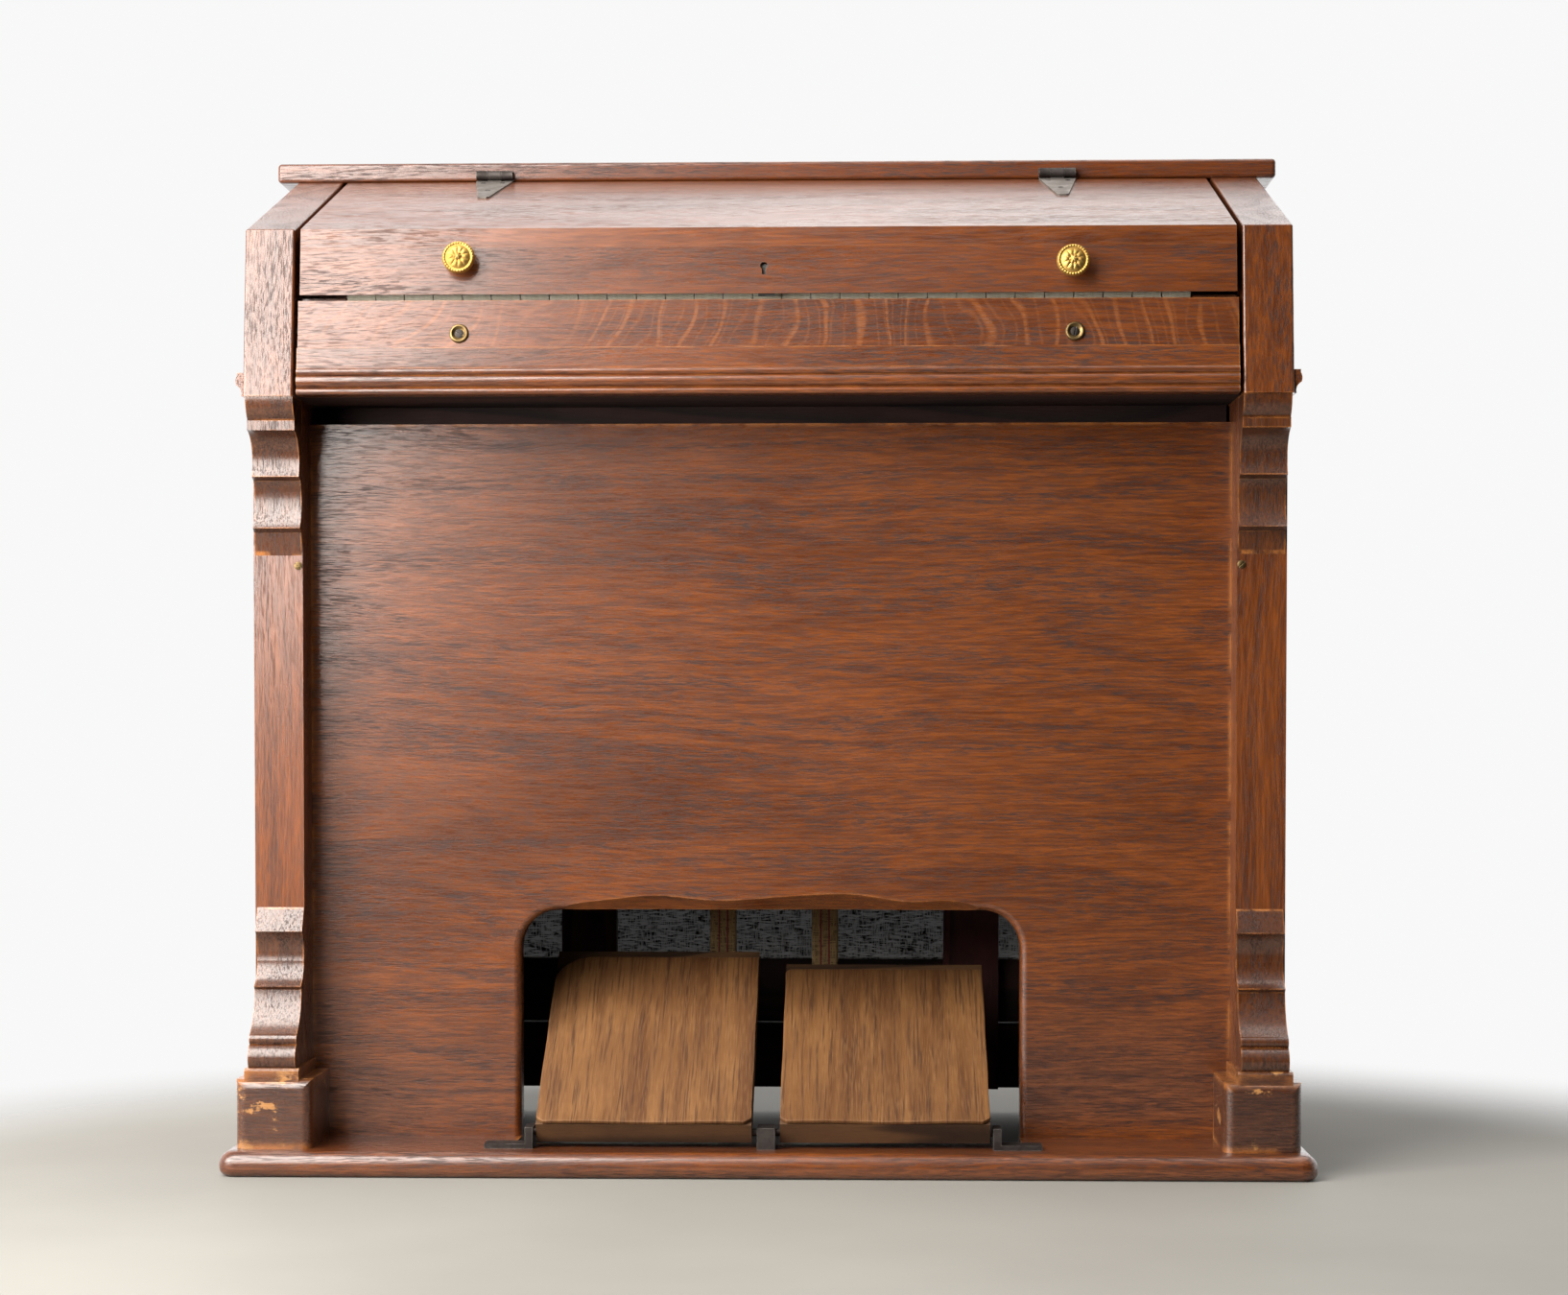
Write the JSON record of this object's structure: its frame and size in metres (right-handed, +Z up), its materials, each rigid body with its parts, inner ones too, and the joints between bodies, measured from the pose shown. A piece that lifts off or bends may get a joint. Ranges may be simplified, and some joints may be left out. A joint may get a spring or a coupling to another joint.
{
  "type": "portable reed organ",
  "caption": "Small foot-pumped reed organ: oak case with a sloping hinged lid over a keyboard, carved brackets, knee panel and two pedals.",
  "frame": {"origin": "on the floor under the centre of the whole instrument's footprint", "axes": "+X to the player's right along the keyboard, +Y from the pedals to the back, +Z up"},
  "size_m": [0.884, 0.41, 0.8596],
  "materials": {
    "stained_oak": "stained oak with a worn satin varnish",
    "dark_wood": "dark red-brown stained softwood, unvarnished inside",
    "tread_wood": "bare light brown hardwood, rubbed by feet",
    "pale_wood": "plain unfinished spruce",
    "brass": "polished brass, slightly tarnished",
    "dark_iron": "blackened iron with rubbed edges",
    "steel": "plain steel",
    "key_white": "aged celluloid key covers",
    "key_black": "black stained sharps",
    "grille": "loose woven grey and black cloth",
    "webbing": "dark woven strap"
  },
  "bodies": {
    "case": {"base_plank": "stained_oak", "base_runner_left": "stained_oak", "base_runner_right": "stained_oak", "foot_block_left": "stained_oak", "foot_block_right": "stained_oak", "side_panel_left": "stained_oak", "side_panel_right": "stained_oak", "stile_left": "stained_oak", "stile_right": "stained_oak", "cheek_left": "stained_oak", "cheek_right": "stained_oak", "side_moulding_left": "stained_oak", "side_moulding_right": "stained_oak", "upper_bracket_left": "stained_oak", "upper_bracket_right": "stained_oak", "lower_bracket_left": "stained_oak", "lower_bracket_right": "stained_oak", "knee_panel": "stained_oak", "top_board": "stained_oak", "back_panel": "stained_oak", "key_slip": "stained_oak", "key_slip_moulding": "stained_oak", "name_board": "stained_oak", "key_block_left": "stained_oak", "key_block_right": "stained_oak", "back_frame": "dark_wood", "back_boards": "dark_wood", "keybed": "dark_wood", "bellows_board": "dark_wood", "strap_roller": "dark_wood", "reed_pan": "dark_wood", "grille_cloth": "grille", "strap_left": "webbing", "strap_right": "webbing", "key_frame": "pale_wood", "hinge_fixed_left": "dark_iron", "hinge_fixed_right": "dark_iron", "pedal_bracket_centre": "dark_iron", "pedal_bracket_left": "dark_iron", "pedal_bracket_right": "dark_iron"},
    "lid": {"lid_slope": "stained_oak", "lid_front": "stained_oak", "hinge_leaf_left": "dark_iron", "hinge_leaf_right": "dark_iron", "knob_left": "brass", "knob_right": "brass"},
    "lock_bolt_body": {"lock_bolt": "steel"},
    "pedal_left_body": {"pedal_left": "tread_wood"},
    "pedal_right_body": {"pedal_right": "tread_wood"},
    "feeder_left_body": {"feeder_left": "dark_wood"},
    "feeder_right_body": {"feeder_right": "dark_wood"},
    "reservoir": {"reservoir_board": "dark_wood"},
    "bass_keys": {"keys_bass": "key_white"},
    "treble_keys": {"keys_treble": "key_white"},
    "key_c_body": {"key_c": "key_white"},
    "key_d_body": {"key_d": "key_white"},
    "key_e_body": {"key_e": "key_white"},
    "key_c_sharp_body": {"key_c_sharp": "key_black"},
    "key_d_sharp_body": {"key_d_sharp": "key_black"}
  },
  "joints": [
    {"name": "lid_hinge", "type": "hinge", "parent": "case", "child": "lid", "pos_m": [0, 0.046, 0.8473], "axis": [-1, 0, 0], "range_deg": [0, 140]},
    {"name": "lock_bolt_slide", "type": "slide", "parent": "lid", "child": "lock_bolt_body", "axis": [0, 0, 1], "range_m": [-0.008, 0]},
    {"name": "pedal_left_hinge", "type": "hinge", "parent": "case", "child": "pedal_left_body", "pos_m": [-0.0995, -0.166, 0.033], "axis": [-1, 0, 0], "range_deg": [0, 24], "stiffness_Nm_per_rad": 4, "springref_deg": -22.92},
    {"name": "feeder_left_hinge", "type": "hinge", "parent": "case", "child": "feeder_left_body", "pos_m": [-0.099, 0.1545, 0.376], "axis": [1, 0, 0], "range_deg": [0, 20]},
    {"name": "pedal_right_hinge", "type": "hinge", "parent": "case", "child": "pedal_right_body", "pos_m": [0.096, -0.166, 0.033], "axis": [-1, 0, 0], "range_deg": [0, 20], "stiffness_Nm_per_rad": 4, "springref_deg": -22.92},
    {"name": "feeder_right_hinge", "type": "hinge", "parent": "case", "child": "feeder_right_body", "pos_m": [0.099, 0.1545, 0.376], "axis": [1, 0, 0], "range_deg": [0, 20]},
    {"name": "reservoir_rise", "type": "slide", "parent": "case", "child": "reservoir", "axis": [0, 0, 1], "range_m": [0, 0.08], "stiffness_N_per_m": 200, "springref_m": -0.05},
    {"name": "bass_keys_dip", "type": "hinge", "parent": "case", "child": "bass_keys", "pos_m": [-0.177, 0.0695, 0.6934], "axis": [1, 0, 0], "range_deg": [0, 2.3], "stiffness_Nm_per_rad": 25, "springref_deg": -5.16},
    {"name": "treble_keys_dip", "type": "hinge", "parent": "case", "child": "treble_keys", "pos_m": [0.2006, 0.0695, 0.6934], "axis": [1, 0, 0], "range_deg": [0, 2.3], "stiffness_Nm_per_rad": 20, "springref_deg": -5.16},
    {"name": "key_c_dip", "type": "hinge", "parent": "case", "child": "key_c_body", "pos_m": [0, 0.0695, 0.6934], "axis": [1, 0, 0], "range_deg": [0, 2.3], "stiffness_Nm_per_rad": 1.2, "springref_deg": -4.58},
    {"name": "key_d_dip", "type": "hinge", "parent": "case", "child": "key_d_body", "pos_m": [0.0236, 0.0695, 0.6934], "axis": [1, 0, 0], "range_deg": [0, 2.3], "stiffness_Nm_per_rad": 1.2, "springref_deg": -4.58},
    {"name": "key_e_dip", "type": "hinge", "parent": "case", "child": "key_e_body", "pos_m": [0.0472, 0.0695, 0.6934], "axis": [1, 0, 0], "range_deg": [0, 2.3], "stiffness_Nm_per_rad": 1.2, "springref_deg": -4.58},
    {"name": "key_c_sharp_dip", "type": "hinge", "parent": "case", "child": "key_c_sharp_body", "pos_m": [0.0093, 0.0695, 0.6934], "axis": [1, 0, 0], "range_deg": [0, 2.3], "stiffness_Nm_per_rad": 1.2, "springref_deg": -4.58},
    {"name": "key_d_sharp_dip", "type": "hinge", "parent": "case", "child": "key_d_sharp_body", "pos_m": [0.0379, 0.0695, 0.6934], "axis": [1, 0, 0], "range_deg": [0, 2.3], "stiffness_Nm_per_rad": 1.2, "springref_deg": -4.58}
  ],
  "couplings": [
    {"joint": "feeder_left_hinge", "follows": "pedal_left_hinge", "ratio": 0.8},
    {"joint": "feeder_right_hinge", "follows": "pedal_right_hinge", "ratio": 0.8}
  ]
}
